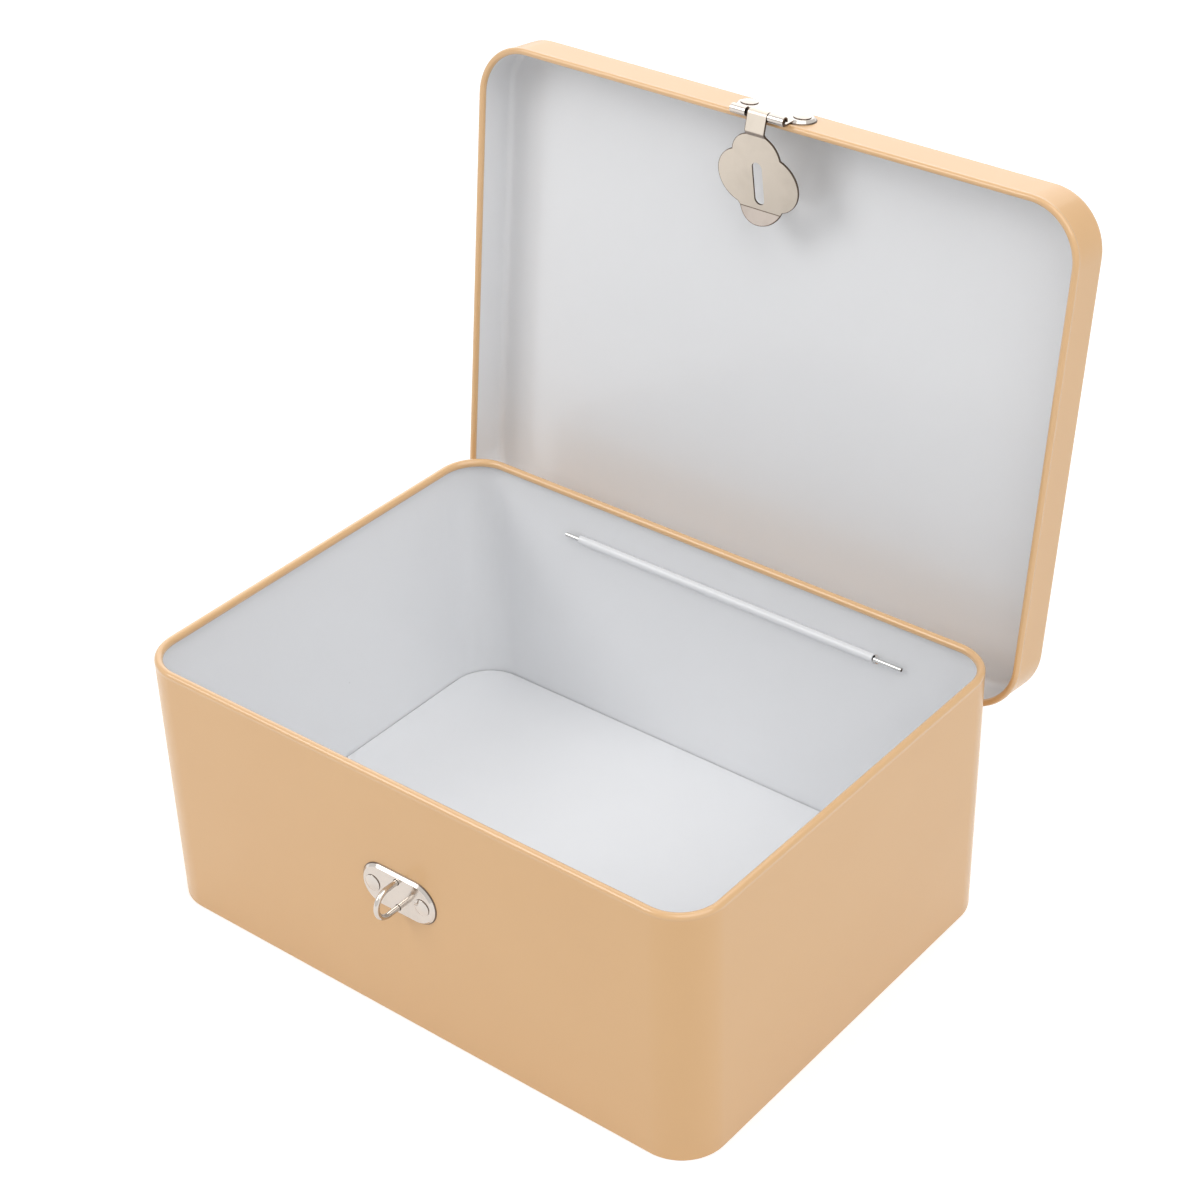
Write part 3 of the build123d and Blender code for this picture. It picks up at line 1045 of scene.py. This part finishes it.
@dataclass
class Fitting:
    """What the staple and the hasp have in common: a pressed plate and two rivets."""

    name: str
    body: str
    x: float
    face_y: float
    z: float
    width: float
    height: float
    sheet: float = 0.7
    plate_depth: float = 1.3
    plate_edge: float = 1.2
    rivet_spacing: float = 22.0
    rivet_radius: float = 3.1
    rivet_height: float = 0.9
    rivet_flank: float = 0.3
    shank_radius: float = 1.395
    shank_overlap: float = 0.2
    foot_line: float = 0.45
    tail_radius: float = 2.3
    tail_height: float = 0.6
    box_sheet: float = 0.4

    def move(self) -> Matrix:
        """The move from the shut tin to the open one, which is none for a fitting on the box."""
        return Matrix()

    def spot(self, right: float = 0, out: float = 0) -> Matrix:
        """The place on the shut tin of what was modelled on the XY plane, so far right and out, mm."""
        return at(self.x + right, self.face_y - out, self.z) @ turn(90)

    def oblong(self, width: float, height: float) -> Piece:
        """A flat face with full round ends.

        Args:
            width: Over its ends, mm.
            height: Across it, mm.

        Returns:
            The face, on the XY plane.
        """
        half, radius = width / 2 - height / 2, height / 2
        drawing = Drawing(Plane.FLAT, (-half, -radius))
        drawing.line((half, -radius)).arc((half, 0), 180, 28)
        drawing.line((-half, radius)).arc((-half, 0), 180, 28)
        return drawing.filled()

    def dished_plate(self) -> Piece:
        """A pressed plate with chamfered edges and a line of painted shade round its foot.

        Returns:
            The plate, standing on the XY plane.
        """
        plate = self.oblong(self.width, self.height)
        coat(plate, Finish.NICKEL, Finish.CUT_EDGE)
        pressed_cap(plate, self.plate_depth, self.plate_edge, self.sheet, edge_steps=1)
        with editing(plate):
            slice_level(self.foot_line)
        # Painted shade: the ring round the plate's foot takes the dark edge finish
        recoat(plate, 1, lies_below(self.foot_line))
        return plate

    def rivet(self) -> Piece:
        """A domed rivet, with its shank and the tail inside.

        Returns:
            The rivet, with the underside of its head on the XY plane.
        """
        flank, grip = self.rivet_flank, self.plate_depth + self.box_sheet
        dome = self.rivet_height - flank
        ball = (self.rivet_radius**2 + dome**2) / (2 * dome)
        head = primitive(
            bpy.ops.mesh.primitive_uv_sphere_add, segments=48, ring_count=96, radius=ball * MM,
            location=point(0, 0, self.rivet_height - ball),
        )
        with editing(head):
            slice_level(flank, clear_inner=True, use_fill=False)
            select(head, Pick.EDGES, lambda e: e.is_boundary)
            pull(0, 0, -flank)
            bpy.ops.mesh.edge_face_add()
        close_up(head)
        coat(head, Finish.NICKEL, Finish.CUT_EDGE)
        # Painted shade: the head's flank takes the dark edge finish, a dark crescent round the dome
        recoat(head, 1, lies_below(flank))
        soften(head, 0.1, angle=30)
        tail = peg(self.tail_radius, self.tail_height, crop=0.2, y=0, z=-grip - self.tail_height / 2)
        shank = peg(self.shank_radius, grip + self.shank_overlap, crop=0.02, y=0, z=-grip / 2)
        coat(tail, Finish.NICKEL)
        coat(shank, Finish.NICKEL)
        return join(head, tail, shank)

    def rivets(self) -> None:
        """Models the fitting's two rivets."""
        for name, side in (("left", -1), ("right", 1)):
            spot = self.spot(side * self.rivet_spacing / 2, self.plate_depth)
            rivet = place(self.rivet(), self.move() @ spot)
            dress(rivet, f"{self.name}_stud_{name}", self.body, f"{self.name}_rivet_{name}")


@dataclass
class Staple(Fitting):
    """The padlock staple on the box's front."""

    name: str = "staple"
    body: str = "body"
    x: float = -0.6
    face_y: float = -89.75
    z: float = 58.0
    width: float = 33.0
    height: float = 17.5
    wire: float = 1.05
    loop_height: float = 13.0
    reach: float = 12.5
    hole_gap: float = 0.2
    head_radius: float = 1.9
    head_height: float = 0.5
    head_lift: float = 0.3

    def plate(self) -> None:
        """Models the staple's plate, with a dark edge round the loop's two holes."""
        plate = self.dished_plate()
        leg = self.loop_height / 2 - self.wire
        for side in (-1, 1):
            hole = peg(self.wire + self.hole_gap, CUT_DEPTH, crop=0.01, y=side * leg, z=0)
            coat(hole, Finish.NICKEL, Finish.CUT_EDGE)
            recoat(hole, 1, lambda f: True)
            cut_away(plate, hole)
        soften(plate, 0.12, angle=30)
        place(plate, self.spot())
        dress(plate, "staple_back", "body", "staple_plate")

    def loop(self) -> None:
        """Models the wire loop, its two ends headed over behind the plate."""
        bend, lift = self.loop_height / 2 - self.wire, self.head_lift
        straight = self.reach - self.wire - bend
        loop = primitive(
            bpy.ops.mesh.primitive_circle_add, vertices=28, radius=self.wire * MM,
            location=point(0, -bend, lift),
        )
        with editing(loop):
            pull(0, 0, straight - lift)
            bpy.ops.mesh.spin(steps=40, angle=math.pi, center=point(0, 0, straight), axis=(1, 0, 0))
            pull(0, 0, lift - straight)
            bpy.ops.mesh.select_all(action="SELECT")
            bpy.ops.mesh.region_to_loop()
            bpy.ops.mesh.edge_face_add()
        close_up(loop)
        size = (self.head_radius, self.head_height)
        heads = [peg(*size, crop=0.12, y=side * bend, z=lift) for side in (-1, 1)]
        place(join(loop, *heads), self.spot())
        coat(loop, Finish.NICKEL)
        dress(loop, "staple_wire", "body", "staple_loop")

    def build(self) -> None:
        """Builds the staple."""
        self.plate()
        self.loop()
        self.rivets()


@dataclass
class Hasp(Fitting):
    """The hasp on the lid's front skirt: its plate and knuckles, its pin and its flap."""

    name: str = "hasp"
    body: str = "lid"
    x: float = 0.1
    face_y: float = -93.45
    z: float = 95.45
    width: float = 32.0
    height: float = 12.5
    hinge: Hinge = Hinge()
    knuckle_root: float = 1.8
    pin_y: float = -95.15
    pin_z: float = 85.2
    pin_radius: float = 0.95
    pin_length: float = 21.4
    knuckle_middle: float = 1.35
    knuckle_inner: float = 4.7
    knuckle_outer: float = 11.0
    strip_angle: float = 23.5
    strip_length: float = 5.9
    neck_left: float = -3.5
    neck_right: float = 4.5
    flap_offset: float = 2.9
    flap_top: float = 6.4
    upper_bulge: Flat = (8.3, 9.6)
    upper_cusp: Flat = (10.0, 13.8)
    lobe: Flat = (16.8, 24.0)
    lower_cusp: Flat = (9.4, 34.2)
    fold_half: float = 8.5
    fold_down: float = 35.6
    fold_line: float = 0.2
    tab_length: float = 5.5
    tab_bend: float = 30.0
    slot_width: float = 4.2
    slot_length: float = 16.5
    slot_down: float = 25.1
    flap_hang: float = 7.8
    bend_width: float = 0.35
    shade_margin: float = 0.6
    edge_line: float = 0.2

    def move(self) -> Matrix:
        """The move of the shut lid to the open one."""
        return self.hinge.opened()

    def knuckles(self) -> list[Piece]:
        """Models the plate's two knuckles, each a tongue of its sheet rolled round the pin.

        Returns:
            The knuckles, in the shut lid's place.
        """
        root = Vector((
            self.face_y - self.plate_depth + self.sheet / 2,
            self.z - self.height / 2 + self.knuckle_root,
        ))
        pin = Vector((self.pin_y, self.pin_z))
        distance = (pin - root).length
        towards = math.atan2(*(pin - root).yx)
        lean = math.asin(self.knuckle_middle / distance)
        straight = math.sqrt(distance**2 - self.knuckle_middle**2)
        touch = root + straight * Vector((math.cos(towards + lean), math.sin(towards + lean)))
        roll_shade = inside_a_roll(self.pin_y, self.pin_z, self.knuckle_middle - self.sheet / 4)
        knuckles = []
        for side in (-1, 1):
            near, far = sorted((side * self.knuckle_inner, side * self.knuckle_outer))
            drawing = Drawing(Plane.SIDE, tuple(root))
            drawing.line(tuple(touch)).arc(tuple(pin), -ROLL_SWEEP, 34)
            knuckle = drawing.strip(self.x + near, self.x + far)
            coat(knuckle, Finish.NICKEL, Finish.CUT_EDGE, Finish.OILED_PIN)
            thicken(knuckle, self.sheet, offset=0, rim_slot=1)
            # Painted shade inside the roll round the pin
            recoat(knuckle, 2, roll_shade)
            soften(knuckle, 0.1)
            knuckles.append(knuckle)
        return knuckles

    def plate(self) -> None:
        """Models the fixed plate with its knuckles."""
        plate = self.dished_plate()
        soften(plate, 0.12, angle=30)
        place(plate, self.spot())
        place(join(plate, *self.knuckles()), self.move())
        dress(plate, "hasp_back", "lid", "hasp_plate")

    def pin(self) -> None:
        """Models the pin."""
        pin = rod(self.pin_radius, self.pin_length, crop=0.2)
        place(pin, self.move() @ at(self.x, self.pin_y, self.pin_z))
        coat(pin, Finish.OILED_PIN)
        dress(pin, "hasp_rod", "lid", "hasp_pin")

    def leaf(self) -> Piece:
        """Draws the clover-shaped part of the flap.

        Returns:
            The leaf as a flat skin, with the pin at the origin, Y inwards and Z up.
        """
        bulge, cusp, lobe, low = (
            (x, -down) for x, down in (self.upper_bulge, self.upper_cusp, self.lobe, self.lower_cusp)
        )
        top, fold = -self.flap_top, -self.fold_down
        drawing = Drawing(Plane.FLAT, (self.neck_left, top))
        drawing.arc_through((-bulge[0], bulge[1]), (-cusp[0], cusp[1]), 16)
        drawing.arc_through((-lobe[0], lobe[1]), (-low[0], low[1]), 48)
        drawing.line((-self.fold_half, fold), (self.fold_half, fold), low)
        drawing.arc_through(lobe, cusp, 48)
        drawing.arc_through(bulge, (self.neck_right, top), 16)
        drawing.line((self.neck_left, top))
        return place(drawing.filled(), at(0, -self.flap_offset, 0) @ turn(90))

    def tab(self) -> Piece:
        """Draws the thumb tab, bent out below the fold.

        Returns:
            The tab as a flat skin, in the leaf's frame.
        """
        drawing = Drawing(Plane.FLAT, (-self.fold_half, 0))
        drawing.arc_through((0, -self.tab_length), (self.fold_half, 0), 40)
        drawing.line((-self.fold_half, 0))
        bent = at(0, -self.flap_offset, -self.fold_down) @ turn(90 - self.tab_bend)
        return place(drawing.filled(), bent)

    def neck(self) -> Piece:
        """Draws the flap's own knuckle and its stepped neck, down to the leaf's top edge.

        Returns:
            The neck as a skin, in the leaf's frame.
        """
        lean = math.radians(self.strip_angle)
        leave = Vector((-math.cos(lean), math.sin(lean))) * self.knuckle_middle
        step = leave - self.strip_length * Vector((math.sin(lean), math.cos(lean)))
        drawing = Drawing(Plane.SIDE, (-self.flap_offset, -self.flap_top))
        drawing.line(tuple(step), tuple(leave)).arc((0, 0), -ROLL_SWEEP, 34)
        return drawing.strip(self.neck_left, self.neck_right)

    def is_shade_painted(self, face: bmesh.types.BMFace) -> bool:
        """Whether a face of the hanging skin lies on the thumb tab or in the neck's step, which take
        painted shade.
        """
        down, lean = -face.calc_center_median().z / MM, math.radians(self.strip_angle)
        step = self.strip_length * math.cos(lean) - self.knuckle_middle * math.sin(lean)
        return down > self.fold_down or step < down < self.flap_top

    def flap(self) -> None:
        """Models the swinging flap as one bent sheet, hanging free from the open lid."""
        flap = join(self.leaf(), self.tab(), self.neck())
        close_up(flap)
        round_bends(flap, self.bend_width)
        with editing(flap):
            slice_level(self.shade_margin - self.fold_down)
            slice_level(-self.shade_margin - self.flap_top)
        coats = (Finish.SATIN_NICKEL, Finish.HANDLED_NICKEL, Finish.CUT_EDGE)
        coat(flap, *coats)
        # Painted shade: the thumb tab and the neck's step take the darker nickel
        recoat(flap, 1, self.is_shade_painted)
        # Painted shade: a dark line along the fold of the thumb tab
        fold, half_line = -self.fold_down * MM, self.fold_line * MM
        recoat(flap, 2, lambda f: abs(f.calc_center_median().z - fold) < half_line)
        # Painted shade: a dark outline round the flap's faces, from an inset ring
        with editing(flap):
            bpy.ops.mesh.inset(thickness=self.edge_line * MM, use_boundary=True)
            bpy.ops.mesh.select_all(action="INVERT")
            flap.active_material_index = 2
            bpy.ops.object.material_slot_assign()
        thicken(flap, self.sheet, offset=0, rim_slot=2)
        slot = self.oblong(self.slot_length, self.slot_width)
        coat(slot, *coats)
        thicken(slot, CUT_DEPTH, offset=0, rim_slot=2)
        upright = at(0, -self.flap_offset, -self.slot_down) @ turn(90)
        place(slot, upright @ turn(90, "Z"))
        cut_away(flap, slot)
        soften(flap, 0.08, slot=2)
        hang = turn(self.hinge.open_angle + self.flap_hang)
        place(flap, self.move() @ at(self.x, self.pin_y, self.pin_z) @ hang)
        dress(flap, "hasp_leaf", "hasp_flap", "hasp_flap")

    def build(self) -> None:
        """Builds the hasp, open with the lid."""
        self.plate()
        self.pin()
        self.flap()
        self.rivets()


def direction(azimuth: float, elevation: float) -> Vector:
    """The direction to a point round the tin, in degrees from the front to the right, and upwards."""
    a, e = math.radians(azimuth), math.radians(elevation)
    return Vector((math.sin(a) * math.cos(e), -math.cos(a) * math.cos(e), math.sin(e)))


def seen_directly(tree: Tree) -> Socket:
    """Whether a ray comes from the camera, or from it by reflection or through something clear.

    Args:
        tree: The node tree.

    Returns:
        A socket that is 1 for such a ray and otherwise 0.
    """
    path = add_node(tree, "ShaderNodeLightPath").outputs
    seen = path["Is Camera Ray"]
    for ray in ("Is Glossy Ray", "Is Transmission Ray"):
        seen = add_node(tree, "ShaderNodeMath", {0: seen, 1: path[ray]}, operation="MAXIMUM").outputs[0]
    return seen


@dataclass(frozen=True)
class Lamp:
    """A square soft lamp that looks at the tin's middle."""

    name: str
    azimuth: float
    elevation: float
    distance: float
    size: float
    power: float

    def build(self, aim: Vector) -> None:
        """Hangs the lamp.

        Args:
            aim: What it looks at.
        """
        data = bpy.data.lights.new(self.name, "AREA")
        data.size, data.energy = self.size, self.power
        lamp = bpy.data.objects.new(self.name, data)
        bpy.context.scene.collection.objects.link(lamp)
        away = direction(self.azimuth, self.elevation)
        lamp.location = aim + away * self.distance
        lamp.rotation_euler = (-away).to_track_quat("-Z", "Y").to_euler()


@dataclass
class Studio:
    """The pale floor, the white surround, the lamps and the camera."""

    ambient: float = 0.35
    floor_colour: str = "#EDEDED"
    floor_glow: float = 0.36
    floor_size: float = 2.6
    floor_z: float = -0.1
    lamps: tuple[Lamp, ...] = (
        Lamp("lamp_front_left", -39, 38, 1.8, 0.9, 10.2),
        Lamp("lamp_right", 80, 25, 1.8, 1.8, 3.2),
        Lamp("lamp_back_left", 214, 36, 1.9, 2.4, 16.0),
        Lamp("lamp_above_right", 70, 60, 1.8, 1.8, 19.8),
    )
    azimuth: float = 38.80
    elevation: float = 35.32
    roll: float = -1.25
    distance: float = 0.89185
    target: tuple[float, float, float] = (27.89, 0.0, 102.20)
    lens: float = 78.5
    sensor: float = 36.0
    shift: Flat = (-0.025, 0.075)

    def floor(self) -> None:
        """Lays the floor: a pale diffuse surface that still catches the tin's shadow."""
        floor = primitive(
            bpy.ops.mesh.primitive_plane_add, size=self.floor_size, location=point(0, 0, self.floor_z)
        )
        floor.name = "studio_floor"
        material = bpy.data.materials.new("studio_paper")
        tree = blank_tree(material)
        paper = add_node(
            tree, "ShaderNodeBsdfDiffuse", values={"Color": linear(self.floor_colour), "Roughness": 0.0}
        )
        strength = add_node(
            tree, "ShaderNodeMath", {0: seen_directly(tree)}, {1: self.floor_glow}, operation="MULTIPLY"
        )
        glow = add_node(tree, "ShaderNodeEmission", {"Strength": strength.outputs[0]})
        both = add_node(tree, "ShaderNodeAddShader", {0: paper.outputs[0], 1: glow.outputs[0]})
        add_node(tree, "ShaderNodeOutputMaterial", {"Surface": both.outputs[0]})
        floor.data.materials.append(material)

    def surround(self) -> None:
        """Sets the world: white to the camera and to reflections, softer on the object."""
        world = bpy.data.worlds.new("studio_surround")
        bpy.context.scene.world = world
        tree = blank_tree(world)
        strength = add_node(
            tree, "ShaderNodeMapRange", {"Value": seen_directly(tree)},
            {"To Min": self.ambient, "To Max": 1.0},
        )
        light = add_node(
            tree, "ShaderNodeBackground", {"Strength": strength.outputs["Result"]}, {"Color": (1, 1, 1, 1)}
        )
        add_node(tree, "ShaderNodeOutputWorld", {"Surface": light.outputs[0]}, is_active_output=True)

    def camera(self) -> None:
        """Sets the camera where the photograph was taken from."""
        data = bpy.data.cameras.new("photo_camera")
        data.lens = self.lens
        data.sensor_width = self.sensor
        data.shift_x, data.shift_y = self.shift
        data.clip_start = 0.01
        camera = bpy.data.objects.new("photo_camera", data)
        bpy.context.scene.collection.objects.link(camera)
        back = direction(self.azimuth, self.elevation)
        level = back.to_track_quat("Z", "Y").to_matrix().to_4x4()
        stand = Matrix.Translation(point(*self.target) + back * self.distance)
        camera.matrix_world = stand @ level @ turn(self.roll, "Z")
        bpy.context.scene.camera = camera

    def build(self) -> None:
        """Builds the studio."""
        self.floor()
        self.surround()
        self.camera()
        for lamp in self.lamps:
            lamp.build(point(*self.target))
        bpy.context.scene.view_settings.view_transform = "Standard"


def main() -> None:
    """Builds the tin, its fittings and the studio in order."""
    logging.basicConfig(level=logging.INFO, format="%(name)s: %(message)s")
    for part in (TinBox(), TinLid(), Staple(), Hasp(), Studio()):
        part.build()


if __name__ == "__main__":
    main()
